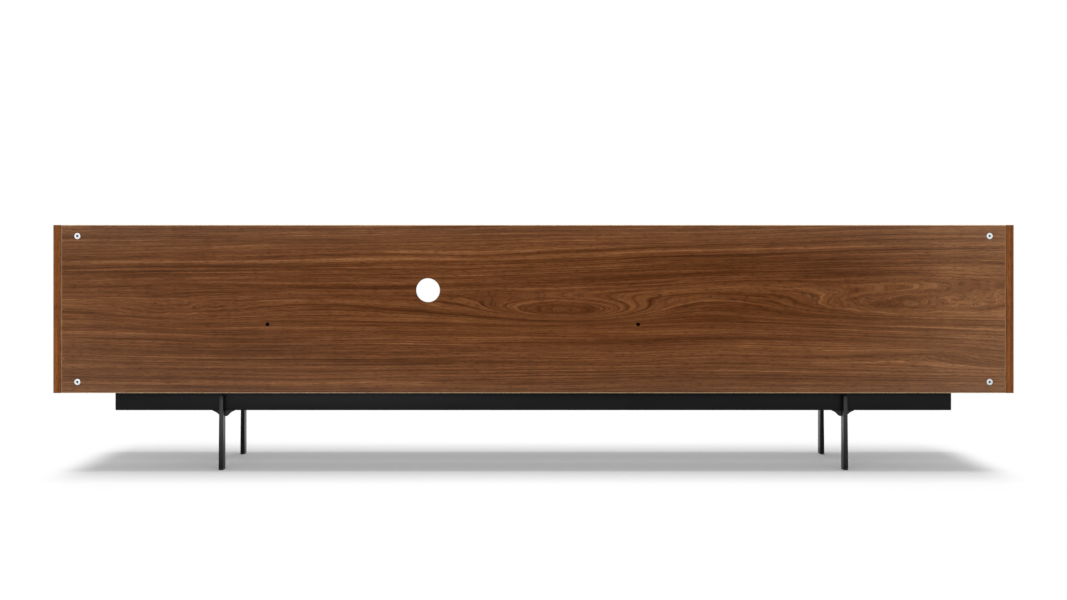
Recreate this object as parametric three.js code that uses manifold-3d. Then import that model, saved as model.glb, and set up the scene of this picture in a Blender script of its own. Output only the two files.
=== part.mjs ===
// Low media cabinet. A walnut-veneered case holds a drop-down flap, an open niche with a drawer under
// it, and a side-hung door. It stands on a black steel base: two rails, two cross members and four
// flat-bar legs. The back panel is finished too, with a round cable hole. Four cam locks hold it to the
// side panels.
// Units are millimetres. +Z is up, the front faces -Y, and the origin is on the floor under the middle.
import * as THREE from "three";
import { mergeVertices } from "three/addons/utils/BufferGeometryUtils.js";
import Module from "manifold-3d";

const wasm = await Module();
wasm.setup();

// ---------------------------------------------------------------- driving dimensions

// Case
const width = 2000; // over the side panels
const depth = 400; // front edges to back face
const caseHeight = 350;
const panel = 16; // every case panel and front
const wideBay = 758; // clear width behind the flap
const nicheBay = 756; // clear width of the niche and the drawer under it
const drawerBay = 119; // clear height for the drawer
const fingerSlot = 24; // from the drawer front's back to the niche shelf's edge
const joint = 0.2; // left between pieces that are fixed face to face
const backGap = 0.8; // shadow line between the back panel and each side panel
const backChamfer = 1;

// Cable hole and the back panel's fixings
const cableHole = 50; // diameter
const cableHoleSides = 64;
const cableHoleRise = 63; // centre above the niche shelf
const cableHoleOffset = 52; // centre from the middle of the niche
const camDiameter = 13;
const camDepth = 12.5;
const camInset = 33; // cam centre from the back panel's end
const camEdge = 23; // cam centre from the back panel's top or bottom edge
const camDrive = 6.4; // across the arms of the cross that a driver turns
const camDriveArm = 2.2; // an arm's width
const camDriveDepth = 2.8;
const camPocket = 8; // diameter of the hollow that takes the bolt's head
const camWall = 2; // from the cam's rim to that hollow
const camBolt = 5; // shank diameter
const camBoltThread = 6;
const camBoltHead = 7;
const camBoltNeck = 3; // diameter behind the head
const camBoltNeckLength = 4;
const camBoltHold = 10; // thread length in the side panel
const camBoltStop = 2; // from the bolt's end to the cam's axis
const screwWell = 8; // diameter of the drilling that hides a divider screw's head
const screwWellDepth = 9;
const screwShank = 4;
const screwHead = 7;
const screwHeadHeight = 3;
const screwHold = 30; // screw length in the divider
const screwPoint = 5;
const pointShare = 0.3; // a screw's tip over its shank
const edgeBreak = 0.5; // chamfer on turned pieces
const fixingClearance = 0.3; // radial, round cams, bolts, screws and plungers

// Fronts
const frontGap = 2; // round each front
const gripGap = 15; // finger gap at the flap's top edge and at the door's free edge
const gripBevel = 8; // on the back of each front's free edge
const pinDiameter = 6; // door pins and flap spindles
const pinHold = 16; // length in the front
const pinReach = 8; // length in the case
const pinClearance = 0.3; // radial, and under the pin's collar
const pinCollar = 11; // diameter
const spindleFlat = 2; // from the axis to the flat that turns a flap spindle with its flap
const bushDiameter = 9;
const bushFlange = 13; // diameter
const bushFlangeThickness = 0.8;
const bushReach = 9; // length in the case
const damperDiameter = 11; // torque hinge let into the case beside the flap
const damperFlange = 15; // diameter
const damperDepth = 12;
const spindleWell = 9; // how deep its bore is

// Magnetic catches
const catchWidth = 15;
const catchDepth = 16; // from the panel that carries it
const catchLength = 40;
const catchRound = 3; // radius along its lower edges
const catchEarOffset = 3; // from the block's side to a screw ear's hole
const catchEarRadius = 4;
const catchEarThickness = 3;
const catchEarHole = 3.5;
const poleThickness = 1.5;
const poleWidth = 9;
const poleLength = 2.5; // mostly inside the block
const poleProud = 0.75;
const strikeSize = 14;
const strikeThickness = 1.2;
const strikeHole = 3.5;
const strikeCorner = 2; // cut off each corner
const strikeGap = 0.3; // from the strike to the catch's poles
const strikeMargin = 1; // from the front's edge
const doorCatchEdge = 40; // catch centre from the door's free edge
const flapCatchEdge = 14; // catch centre from the flap's top edge

// Drawer
const drawerSide = 12; // side and back thickness
const drawerHeight = 84;
const drawerRearGap = 28; // from the drawer to the back panel
const drawerBottom = 6;
const drawerGroove = 6; // groove depth
const drawerGrooveRise = 10; // groove above the side's lower edge
const drawerFloorGap = 14; // side's lower edge above the bottom panel
const runnerSpace = 13; // between the case and the drawer side
const runnerHeight = 46;
const runnerWall = 1.5;
const runnerLip = 1.4; // turned in at the edges of the member on the case
const runnerPlay = 0.4; // between members

// Steel base
const legHeight = 165; // floor to the case
const legSpacing = 1312; // between the legs' centres, left to right
const legThickness = 8; // at the top
const legSpread = 1.5; // how much thicker it is at the foot, on the outer face
const legDepth = 32;
const legEar = 16; // how far a leg stands proud of its rail
const legDrop = 7.5; // from the case to the leg's top
const saddleWidth = 46; // welded bracket between leg, rail and cross member
const saddleFoot = 14; // its width at the lower edge
const saddleHeight = 13.5;
const saddleEdge = 2.3; // thickness at its thin edges
const saddleHollow = 1.6; // how far its sides curve in
const saddleLength = 24;
const weld = 1; // how far the saddle runs into the leg
const railLength = 1764;
const railHeight = 40;
const railDepth = 20;
const railWall = 2;
const railInset = 50; // from the case's front or back to the rail
const padHeight = 3;
const baseScrewShank = 5;
const baseScrewHead = 10;
const baseScrewHold = 12; // length in the bottom panel
const baseScrewRim = 0.4; // the edge of its countersunk head
const baseScrewPoint = 4;
const baseScrewOffset = 60; // inboard of the legs

// ---------------------------------------------------------------- worked-out places

const sideFace = width / 2 - panel; // inner face of a side panel
const backFace = depth / 2 - panel; // inner face of the back panel
const frontFace = -depth / 2;
const frontBack = frontFace + panel; // back face of the fronts
const caseRoof = caseHeight - panel; // underside of the top panel
const shelfUnderside = panel + drawerBay;
const shelfTop = shelfUnderside + panel;
const nicheLeft = -sideFace + wideBay + panel;
const nicheRight = nicheLeft + nicheBay;
const dividerCentres = { left: nicheLeft - panel / 2, right: nicheRight + panel / 2 };
const doorBayLeft = nicheRight + panel;
const screwHeight = shelfUnderside + panel / 2;
const frontBottom = panel + frontGap;
const pivot = panel / 2; // pin axis from the front's edge and from its faces
const pivotY = frontFace + pivot;
const flapWidth = wideBay - 2 * frontGap;
const flapHeight = caseRoof - gripGap - frontBottom;
const doorWidth = sideFace - doorBayLeft - frontGap - gripGap;
const doorHeight = caseRoof - frontGap - frontBottom;
const doorPivotX = sideFace - frontGap - pivot;
const drawerFront = frontBack + joint; // front ends of the drawer's sides
const drawerLength = backFace - drawerRearGap - drawerFront;
const drawerLow = panel + drawerFloorGap;
const drawerHigh = drawerLow + drawerHeight;
const drawerMiddle = drawerFront + drawerLength / 2;
const drawerFaces = { left: nicheLeft + runnerSpace, right: nicheRight - runnerSpace };
const grooveLow = drawerLow + drawerGrooveRise;
const grooveHigh = grooveLow + drawerBottom + 2 * joint;
const strikeCentre = frontGap + strikeMargin + strikeSize / 2; // from the panel that carries the catch
const backHalf = sideFace - backGap; // from the middle to the back panel's end
const boltY = backFace + panel / 2;
const railTop = legHeight - joint;
const railBottom = railTop - railHeight;
const saddleTop = railBottom - joint;
const railOuter = depth / 2 - railInset;
const railMiddle = railOuter - railDepth / 2;
const baseScrewXs = { left: -legSpacing / 2 + baseScrewOffset, right: legSpacing / 2 - baseScrewOffset };
const roundSides = 24;
const curveSides = 12; // along each curve of an extruded outline
const past = 1; // how far a cutting tool runs out of what it cuts
const hands = [["left", -1], ["right", 1]];
const ends = [["front", -1], ["rear", 1]];
const levels = [["lower", camEdge], ["upper", caseHeight - camEdge]];

// ---------------------------------------------------------------- finishes

function finish(color, roughness, metalness = 0) {
  return new THREE.MeshStandardMaterial({ color, roughness, metalness });
}
const walnut = () => finish("#6f4429", 0.5);
const birch = () => finish("#d9bd93", 0.55);
const blackSteel = () => finish("#26272a", 0.5, 0.3);
const zinc = () => finish("#c3c8cb", 0.35, 0.9);
const brightSteel = () => finish("#a9adb0", 0.3, 0.9);
const blackOxide = () => finish("#17171a", 0.45, 0.6);
const blackPlastic = () => finish("#1b1b1d", 0.65);
const greyPlastic = () => finish("#84868a", 0.6);

// ---------------------------------------------------------------- shapes

// A closed geometry as a manifold-3d solid.
function solidOf(geometry) {
  const bare = geometry.clone();
  bare.deleteAttribute("normal");
  bare.deleteAttribute("uv");
  const merged = mergeVertices(bare, 1e-4);
  const vertProperties = merged.attributes.position.array;
  const triVerts = new Uint32Array(merged.index.array);
  return new wasm.Manifold(new wasm.Mesh({ numProp: 3, vertProperties, triVerts }));
}

// A manifold-3d solid as a geometry.
function geometryOf(solid) {
  const { vertProperties, triVerts } = solid.getMesh();
  const geometry = new THREE.BufferGeometry();
  geometry.setAttribute("position", new THREE.BufferAttribute(vertProperties, 3));
  geometry.setIndex(new THREE.BufferAttribute(triVerts, 1));
  geometry.computeVertexNormals();
  return geometry;
}

function cut(geometry, tools) {
  return geometryOf(tools.reduce((body, tool) => body.subtract(solidOf(tool)), solidOf(geometry)));
}

function join(...geometries) {
  return geometryOf(geometries.map(solidOf).reduce((body, other) => body.add(other)));
}

function meet(first, second) {
  return geometryOf(solidOf(first).intersect(solidOf(second)));
}

function closedShape(points) {
  return new THREE.Shape(points.map(([u, v]) => new THREE.Vector2(u, v)));
}

// Draws on from the outline's last point, bowed to the left of the way it goes.
function bowTo(outline, x, y, bow) {
  const from = outline.currentPoint.clone();
  const run = new THREE.Vector2(x, y).sub(from);
  const control = from.addScaledVector(run, 0.5);
  control.addScaledVector(new THREE.Vector2(-run.y, run.x).normalize(), 2 * bow);
  outline.quadraticCurveTo(control.x, control.y, x, y);
}

// An outline in (X, Y), extruded up Z from 0.
function alongZ(outline, length) {
  return new THREE.ExtrudeGeometry(outline, {
    depth: length,
    bevelEnabled: false,
    curveSegments: curveSides,
  });
}

// An outline in (Y, Z), extruded along X about its middle.
function alongX(outline, length) {
  const geometry = alongZ(outline, length).translate(0, 0, -length / 2);
  const turn = new THREE.Matrix4();
  turn.makeBasis(new THREE.Vector3(0, 1, 0), new THREE.Vector3(0, 0, 1), new THREE.Vector3(1, 0, 0));
  return geometry.applyMatrix4(turn);
}

// An outline in (X, Z), extruded along Y about its middle.
function alongY(outline, length) {
  return alongZ(outline, length).translate(0, 0, -length / 2).rotateX(Math.PI / 2);
}

// A round bar or drilling between two points on a line parallel to an axis. It may taper.
function rod(diameter, from, to, endDiameter = diameter, sides = roundSides) {
  const run = new THREE.Vector3(...to).sub(new THREE.Vector3(...from));
  const geometry = new THREE.CylinderGeometry(endDiameter / 2, diameter / 2, run.length(), sides);
  geometry.translate(0, run.length() / 2, 0);
  const turn = new THREE.Quaternion().setFromUnitVectors(new THREE.Vector3(0, 1, 0), run.normalize());
  return geometry.applyQuaternion(turn).translate(...from);
}

// A turned piece about Z: [radius, height] pairs from the axis back to the axis.
function turned(profile) {
  const points = profile.map(([radius, height]) => new THREE.Vector2(radius, height));
  return new THREE.LatheGeometry(points, roundSides).rotateX(Math.PI / 2);
}

function piece(name, geometry, material, x = 0, y = 0, z = 0) {
  const mesh = new THREE.Mesh(geometry, material);
  mesh.name = name;
  mesh.position.set(x, y, z);
  return mesh;
}

// A board from its lowest to its highest corner, with drillings given in the same frame.
function board(name, material, low, high, drillings = []) {
  const size = high.map((value, axis) => value - low[axis]);
  const middle = high.map((value, axis) => (value + low[axis]) / 2);
  const blank = new THREE.BoxGeometry(...size);
  const tools = drillings.map((tool) => tool.translate(-middle[0], -middle[1], -middle[2]));
  return piece(name, tools.length ? cut(blank, tools) : blank, material, ...middle);
}

function group(x, y, z, ...children) {
  const made = new THREE.Group();
  made.position.set(x, y, z);
  made.add(...children);
  return made;
}

// ---------------------------------------------------------------- case

function damperDrilling(face, side) {
  const z = frontBottom + pivot;
  const bottom = face + side * (damperDepth + fixingClearance);
  const bore = damperDiameter + 2 * fixingClearance;
  return rod(bore, [face - side * past, pivotY, z], [bottom, pivotY, z]);
}

function bushDrilling(face, side) {
  const mouth = [doorPivotX, pivotY, face - side * past];
  const bottom = [doorPivotX, pivotY, face + side * (bushReach + past)];
  return rod(bushDiameter + 2 * fixingClearance, mouth, bottom);
}

function camBoltDrilling(side, height) {
  const mouth = [side * (sideFace - past), boltY, height];
  const bottom = [side * (sideFace + camBoltHold + fixingClearance), boltY, height];
  return rod(camBoltThread + 2 * fixingClearance, mouth, bottom);
}

function sidePanel(hand, side) {
  const drillings = levels.map(([, height]) => camBoltDrilling(side, height));
  if (hand === "left") drillings.push(damperDrilling(-sideFace, side));
  const [low, high] = [side * sideFace, (side * width) / 2].sort((a, b) => a - b);
  const corners = [[low, frontFace, 0], [high, depth / 2, caseHeight]];
  return board(`side_panel_${hand}`, walnut(), ...corners, drillings);
}

function topPanel() {
  const low = [-sideFace + joint, frontFace, caseRoof];
  const high = [sideFace - joint, backFace - joint, caseHeight];
  return board("top_panel", walnut(), low, high, [bushDrilling(caseRoof, 1)]);
}

function bottomPanel() {
  const drillings = [bushDrilling(panel, -1)];
  const bore = baseScrewShank + 2 * fixingClearance;
  for (const x of Object.values(baseScrewXs)) {
    for (const [, way] of ends) {
      const y = way * railMiddle;
      drillings.push(rod(bore, [x, y, -past], [x, y, baseScrewHold + fixingClearance]));
    }
  }
  const low = [-sideFace + joint, frontFace, 0];
  const high = [sideFace - joint, backFace - joint, panel];
  return board("bottom_panel", walnut(), low, high, drillings);
}

function divider(hand) {
  const x = dividerCentres[hand];
  const bore = screwShank + 2 * fixingClearance;
  const bottom = backFace - screwHold - fixingClearance;
  const drillings = [rod(bore, [x, backFace + past, screwHeight], [x, bottom, screwHeight])];
  if (hand === "left") drillings.push(damperDrilling(x - panel / 2, 1));
  const low = [x - panel / 2, frontFace, panel + joint];
  const high = [x + panel / 2, backFace - joint, caseRoof - joint];
  return board(`divider_${hand}`, walnut(), low, high, drillings);
}

function nicheShelf() {
  const low = [nicheLeft + joint, frontBack + fingerSlot, shelfUnderside];
  return board("niche_shelf", walnut(), low, [nicheRight - joint, backFace - joint, shelfTop]);
}

// ---------------------------------------------------------------- back panel and its fixings

function backPanel() {
  const half = backHalf - backChamfer;
  const low = backChamfer;
  const high = caseHeight - backChamfer;
  const outline = closedShape([[-half, low], [half, low], [half, high], [-half, high]]);
  const blank = new THREE.ExtrudeGeometry(outline, {
    depth: panel - 2 * backChamfer,
    bevelThickness: backChamfer,
    bevelSize: backChamfer,
    bevelSegments: 1,
  });
  blank.translate(0, 0, -panel / 2 + backChamfer).rotateX(Math.PI / 2);
  blank.translate(0, backFace + panel / 2, 0);
  const tools = [];
  const holeX = (nicheLeft + nicheRight) / 2 + cableHoleOffset;
  const holeZ = shelfTop + cableHoleRise;
  const holeEnds = [[holeX, backFace - past, holeZ], [holeX, depth / 2 + past, holeZ]];
  tools.push(rod(cableHole, ...holeEnds, cableHole, cableHoleSides));
  for (const x of Object.values(dividerCentres)) {
    const mouth = [x, depth / 2 + past, screwHeight];
    tools.push(rod(screwWell, mouth, [x, depth / 2 - screwWellDepth, screwHeight]));
    tools.push(rod(screwShank + 2 * fixingClearance, mouth, [x, backFace - past, screwHeight]));
  }
  for (const [, side] of hands) {
    const x = side * (backHalf - camInset);
    for (const [, z] of levels) {
      const pocket = depth / 2 - camDepth - fixingClearance;
      const edge = side * (backHalf + past);
      tools.push(rod(camDiameter + 2 * fixingClearance, [x, depth / 2 + past, z], [x, pocket, z]));
      tools.push(rod(camBoltHead + 2 * fixingClearance, [edge, boltY, z], [x, boltY, z]));
    }
  }
  return piece("back_panel", cut(blank, tools), walnut());
}

// A cam lock faces +Y and takes its bolt from +X. A driver turns the cross in its face. The bolt's head
// enters through a mouth in the cam's side and lies in a wider pocket.
function camGeometry() {
  const face = panel / 2;
  const radius = camDiameter / 2;
  const barrel = rod(camDiameter, [0, face - camDepth, 0], [0, face - fixingClearance, 0]);
  const armX = new THREE.BoxGeometry(camDrive, 2 * camDriveDepth, camDriveArm).translate(0, face, 0);
  const armZ = new THREE.BoxGeometry(camDriveArm, 2 * camDriveDepth, camDrive).translate(0, face, 0);
  const mouth = rod(camBoltHead + 2 * fixingClearance, [radius + past, 0, 0], [radius - 2 * camWall, 0, 0]);
  const pocket = rod(camPocket, [fixingClearance, 0, 0], [radius - camWall, 0, 0]);
  return cut(barrel, [join(armX, armZ), join(mouth, pocket)]);
}

// The bolt's thread lies in the side panel, and its round head lies in the cam.
function camBoltGeometry() {
  const head = camBoltHead / 2;
  const shank = camBolt / 2;
  const thread = camBoltThread / 2;
  const neck = camBoltNeck / 2;
  const tip = backGap + camInset - camBoltStop; // from the side panel's face to the end of the head
  const neckEnd = tip - head - edgeBreak;
  const neckStart = neckEnd - camBoltNeckLength;
  return turned([
    [0, -camBoltHold],
    [shank, -camBoltHold],
    [thread, -camBoltHold + 2 * edgeBreak],
    [thread, 0],
    [shank, edgeBreak],
    [shank, neckStart],
    [neck, neckStart + shank - neck],
    [neck, neckEnd],
    [head - edgeBreak, tip - head],
    [head, tip - head / 2],
    [head - edgeBreak, tip - edgeBreak],
    [0, tip],
  ]);
}

function backFixings() {
  const made = [];
  for (const [hand, side] of hands) {
    for (const [level, z] of levels) {
      const x = side * (backHalf - camInset);
      const cam = piece(`back_cam_${level}_${hand}`, camGeometry(), zinc(), x, boltY, z);
      cam.rotation.y = side > 0 ? 0 : Math.PI;
      const name = `cam_bolt_${level}_${hand}`;
      const bolt = piece(name, camBoltGeometry(), brightSteel(), side * sideFace, boltY, z);
      bolt.rotation.y = (-side * Math.PI) / 2;
      made.push(cam, bolt);
    }
  }
  return made;
}

// A divider screw's head sits at the bottom of its drilling, so that it shows as a dark spot.
function dividerScrew(hand) {
  const head = screwHead / 2;
  const shank = screwShank / 2;
  const seat = depth / 2 - screwWellDepth + joint;
  const tip = backFace - screwHold - seat;
  const geometry = turned([
    [0, tip],
    [shank * pointShare, tip],
    [shank, tip + screwPoint],
    [shank, 0],
    [head, 0],
    [head, screwHeadHeight - edgeBreak],
    [head - edgeBreak, screwHeadHeight],
    [0, screwHeadHeight],
  ]);
  const x = dividerCentres[hand];
  const screw = piece(`divider_screw_${hand}`, geometry, blackOxide(), x, seat, screwHeight);
  screw.rotation.x = -Math.PI / 2;
  return screw;
}

// ---------------------------------------------------------------- fronts

// A front's section: flat faces, the pivot edge rounded about the pin's axis so that it clears the case,
// and the free edge bevelled at the back as a finger pull. The first coordinate runs through it, the
// second across it.
function frontSection(reach) {
  const outline = new THREE.Shape();
  outline.moveTo(pivot, 0);
  outline.lineTo(pivot, reach - gripBevel);
  outline.lineTo(pivot - gripBevel, reach);
  outline.lineTo(-pivot, reach);
  outline.lineTo(-pivot, 0);
  outline.absarc(0, 0, pivot, Math.PI, 2 * Math.PI, false);
  return outline;
}

// A flap spindle's section: round, with one flat.
function spindleSection(clearance) {
  const radius = pinDiameter / 2 + clearance;
  const flat = Math.acos((spindleFlat + clearance) / radius);
  const outline = new THREE.Shape();
  outline.absarc(0, 0, radius, flat, 2 * Math.PI - flat, false);
  return outline;
}

// A spindle stands on the flap's end and points up Z into the damper. Its flat keeps it turning with the
// flap.
function spindleGeometry() {
  const radius = pinDiameter / 2;
  const tip = frontGap + pinReach;
  const round = turned([
    [0, 0],
    [radius, 0],
    [radius, tip - edgeBreak],
    [radius - edgeBreak, tip],
    [0, tip],
  ]);
  return join(round, alongZ(spindleSection(0), pinHold + past).translate(0, 0, -pinHold));
}

// A torque hinge: a can in the case that brakes the spindle and stops it at a right angle. Its flange
// lies on the case's face at 0, and the spindle comes in from +Z.
function damperGeometry() {
  const radius = damperDiameter / 2;
  const bore = pinDiameter / 2 + pinClearance;
  const top = joint + bushFlangeThickness;
  return turned([
    [0, -damperDepth],
    [radius - edgeBreak, -damperDepth],
    [radius, -damperDepth + edgeBreak],
    [radius, joint],
    [damperFlange / 2, joint],
    [damperFlange / 2, top],
    [bore, top],
    [bore, -spindleWell],
    [0, -spindleWell],
  ]);
}

// The flap's frame is on its spindles' axis, in the middle of its width.
function flap() {
  const sockets = hands.map(([, side]) => {
    const socket = alongZ(spindleSection(pinClearance), pinHold + pinClearance + past);
    socket.translate(0, 0, -pinHold - pinClearance).rotateY((side * Math.PI) / 2);
    return socket.translate((side * flapWidth) / 2, 0, 0);
  });
  const blank = alongX(frontSection(flapHeight - pivot), flapWidth);
  const leaf = piece("flap_door", cut(blank, sockets), walnut());
  const spindles = hands.map(([hand, side]) => {
    const end = (side * flapWidth) / 2;
    const spindle = piece(`flap_spindle_${hand}`, spindleGeometry(), brightSteel(), end);
    spindle.rotation.y = (side * Math.PI) / 2;
    return spindle;
  });
  const dampers = hands.map(([hand, side]) => {
    const face = (side * wideBay) / 2;
    const damper = piece(`flap_damper_${hand}`, damperGeometry(), blackOxide(), face);
    damper.rotation.y = (-side * Math.PI) / 2;
    return damper;
  });
  const catchZ = flapHeight - pivot - flapCatchEdge;
  const strike = strikePlate("flap_strike", -wideBay / 2 + strikeCentre, catchZ);
  const holder = catchBody("flap_catch", -wideBay / 2 + joint, catchZ);
  holder.rotation.y = -Math.PI / 2;
  const x = -sideFace + wideBay / 2;
  return group(x, pivotY, frontBottom + pivot, leaf, ...spindles, ...dampers, strike, holder);
}

// A door pin is pressed into the door below its collar, and turns in a bush above it. The lower one's
// collar carries the door. The pin stands on the door's edge and points up Z.
function doorPinGeometry() {
  const radius = pinDiameter / 2;
  const collarTop = frontGap - joint - bushFlangeThickness - pinClearance;
  const tip = frontGap + pinReach;
  return turned([
    [0, -pinHold],
    [radius - edgeBreak, -pinHold],
    [radius, -pinHold + edgeBreak],
    [radius, joint],
    [pinCollar / 2, joint],
    [pinCollar / 2, collarTop],
    [radius, collarTop],
    [radius, tip - edgeBreak],
    [radius - edgeBreak, tip],
    [0, tip],
  ]);
}

// A flanged bush, open at both ends. Its flange lies on the case's face at 0.
function bushGeometry() {
  const bore = pinDiameter / 2 + pinClearance;
  const top = joint + bushFlangeThickness;
  return turned([
    [bore, -bushReach],
    [bushDiameter / 2, -bushReach],
    [bushDiameter / 2, joint],
    [bushFlange / 2, joint],
    [bushFlange / 2, top],
    [bore, top],
    [bore, -bushReach],
  ]);
}

// The door's frame is on its pins' axis, at its lower edge. It reaches -X from there.
function door() {
  const levelsOf = [["lower", 0, -1], ["upper", doorHeight, 1]];
  const bore = pinDiameter + 2 * pinClearance;
  const sockets = levelsOf.map(([, z, way]) => {
    return rod(bore, [0, 0, z + way * past], [0, 0, z - way * (pinHold + pinClearance)]);
  });
  const blank = alongZ(frontSection(doorWidth - pivot), doorHeight).rotateZ(Math.PI / 2);
  const parts = [piece("door", cut(blank, sockets), walnut())];
  for (const [level, z, way] of levelsOf) {
    const pin = piece(`door_pin_${level}`, doorPinGeometry(), brightSteel(), 0, 0, z);
    const bush = piece(`door_bush_${level}`, bushGeometry(), greyPlastic(), 0, 0, z + way * frontGap);
    pin.rotation.x = way > 0 ? 0 : Math.PI;
    bush.rotation.x = way > 0 ? Math.PI : 0;
    parts.push(pin, bush);
  }
  const catchX = -(doorWidth - pivot) + doorCatchEdge;
  const strikeZ = doorHeight + frontGap - strikeCentre;
  parts.push(strikePlate("door_strike", catchX, strikeZ));
  parts.push(catchBody("door_catch", catchX, doorHeight + frontGap - joint));
  return group(doorPivotX, pivotY, frontBottom, ...parts);
}

// A pressed plate with its corners cut and a screw hole, on the back of a front.
function strikePlate(name, x, z) {
  const half = strikeSize / 2;
  const flat = half - strikeCorner;
  const outline = closedShape([
    [-half, -flat], [-flat, -half], [flat, -half], [half, -flat],
    [half, flat], [flat, half], [-flat, half], [-half, flat],
  ]);
  outline.holes.push(new THREE.Path().absarc(0, 0, strikeHole / 2, 0, 2 * Math.PI, true));
  const y = pivot + joint + strikeThickness / 2;
  return piece(name, alongY(outline, strikeThickness), brightSteel(), x, y, z);
}

// A magnetic catch under a panel at 0: a block with two screw ears, and two steel poles that stand out
// of its nose.
function catchBody(name, x, z) {
  const half = catchWidth / 2;
  const flat = half - catchRound;
  const section = new THREE.Shape();
  section.moveTo(-half, 0);
  section.lineTo(-half, -catchDepth + catchRound);
  section.absarc(-flat, -catchDepth + catchRound, catchRound, Math.PI, 1.5 * Math.PI, false);
  section.absarc(flat, -catchDepth + catchRound, catchRound, 1.5 * Math.PI, 2 * Math.PI, false);
  section.lineTo(half, 0);
  const block = alongY(section, catchLength - poleProud);
  block.translate(0, (catchLength + poleProud) / 2, 0);
  const earX = half + catchEarOffset;
  const ears = new THREE.Shape();
  ears.absarc(earX, 0, catchEarRadius, -Math.PI / 2, Math.PI / 2, false);
  ears.absarc(-earX, 0, catchEarRadius, Math.PI / 2, 1.5 * Math.PI, false);
  for (const [, side] of hands) {
    const hole = new THREE.Path().absarc(side * earX, 0, catchEarHole / 2, 0, 2 * Math.PI, true);
    ears.holes.push(hole);
  }
  const plate = alongZ(ears, catchEarThickness).translate(0, catchLength / 2, -catchEarThickness);
  const poles = [1, 2].map((step) => {
    const pole = new THREE.BoxGeometry(poleWidth, poleLength, poleThickness);
    return pole.translate(0, poleLength / 2, (-step * catchDepth) / 3);
  });
  const y = pivot + joint + strikeThickness + strikeGap;
  return piece(name, join(block, plate, ...poles), greyPlastic(), x, y, z);
}

// ---------------------------------------------------------------- drawer

function drawerFrontBoard() {
  const half = panel / 2;
  const height = shelfTop - frontBottom;
  const section = closedShape([
    [-half, 0], [half, 0], [half, height - gripBevel], [half - gripBevel, height], [-half, height],
  ]);
  const x = (nicheLeft + nicheRight) / 2;
  const blank = alongX(section, nicheBay - 2 * frontGap);
  return piece("drawer_front", blank, walnut(), x, pivotY, frontBottom);
}

// A drawer side, grooved for the bottom along its inner face.
function drawerSideBoard(hand, side) {
  const face = drawerFaces[hand];
  const inner = -side * drawerSide;
  const groove = -side * (drawerSide - drawerGroove);
  const section = closedShape([
    [0, drawerLow], [inner, drawerLow], [inner, grooveLow], [groove, grooveLow],
    [groove, grooveHigh], [inner, grooveHigh], [inner, drawerHigh], [0, drawerHigh],
  ]);
  return piece(`drawer_side_${hand}`, alongY(section, drawerLength), birch(), face, drawerMiddle, 0);
}

function drawerBox() {
  const innerLeft = drawerFaces.left + drawerSide + joint;
  const innerRight = drawerFaces.right - drawerSide - joint;
  const rear = drawerFront + drawerLength;
  const tongue = drawerGroove - 2 * joint;
  const bottomLow = [innerLeft - tongue, drawerFront, grooveLow + joint];
  const bottomHigh = [innerRight + tongue, rear, grooveLow + joint + drawerBottom];
  const backLow = [innerLeft, rear - drawerSide, bottomHigh[2] + joint];
  return [
    ...hands.map(([hand, side]) => drawerSideBoard(hand, side)),
    board("drawer_bottom", birch(), bottomLow, bottomHigh),
    board("drawer_back", birch(), backLow, [innerRight, rear, drawerHigh]),
  ];
}

// A pressed channel's section: its web at one side and its flanges reaching to the other, with lips
// turned in or not.
function channel(web, edge, high, lip) {
  const wall = Math.sign(edge - web) * runnerWall;
  const under = high - runnerWall;
  const upper = [[web, high], [edge, high]];
  if (lip > 0) upper.push([edge, under - lip], [edge - wall, under - lip]);
  upper.push([lip > 0 ? edge - wall : edge, under], [web + wall, under]);
  const lower = [...upper].reverse().map(([u, v]) => [u, -v]);
  return [...upper, ...lower];
}

// A telescopic runner: three members, each nested in the one before. The first lies on the case, and the
// last on the drawer's side.
function runner(hand, side) {
  const step = runnerWall + runnerPlay;
  const high = runnerHeight / 2;
  const caseEdge = runnerSpace - joint - step + runnerWall / 2;
  const face = { left: nicheLeft, right: nicheRight }[hand];
  const middleZ = drawerLow + drawerHeight / 2;
  const member = (name, section) => {
    const outline = closedShape(section.map(([u, v]) => [-side * u, v]));
    const geometry = alongY(outline, drawerLength);
    return piece(`runner_${name}_${hand}`, geometry, zinc(), face, drawerMiddle, middleZ);
  };
  return [
    member("case", channel(joint, caseEdge, high, runnerLip)),
    member("middle", channel(joint + step, caseEdge - step, high - step, 0)),
    member("drawer", channel(runnerSpace - joint, joint + 2 * step, high - 2 * step, 0)),
  ];
}

// ---------------------------------------------------------------- steel base

// A closed rectangular tube. The only ways into its hollow are its screw holes.
function rail(end, side) {
  const size = [railLength, railDepth, railHeight];
  const outside = new THREE.BoxGeometry(...size);
  const inside = new THREE.BoxGeometry(...size.map((length) => length - 2 * railWall));
  const half = railHeight / 2;
  const bore = baseScrewShank + 2 * fixingClearance;
  const mouth = baseScrewHead + 2 * fixingClearance;
  const sink = (baseScrewHead - baseScrewShank) / 2;
  const tools = Object.values(baseScrewXs).flatMap((x) => [
    rod(bore, [x, 0, -half - past], [x, 0, half + past]),
    rod(mouth, [x, 0, -half], [x, 0, -half + sink], bore),
  ]);
  const body = cut(outside, [inside, ...tools]);
  return piece(`rail_${end}`, body, blackSteel(), 0, side * railMiddle, railTop - half);
}

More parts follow.
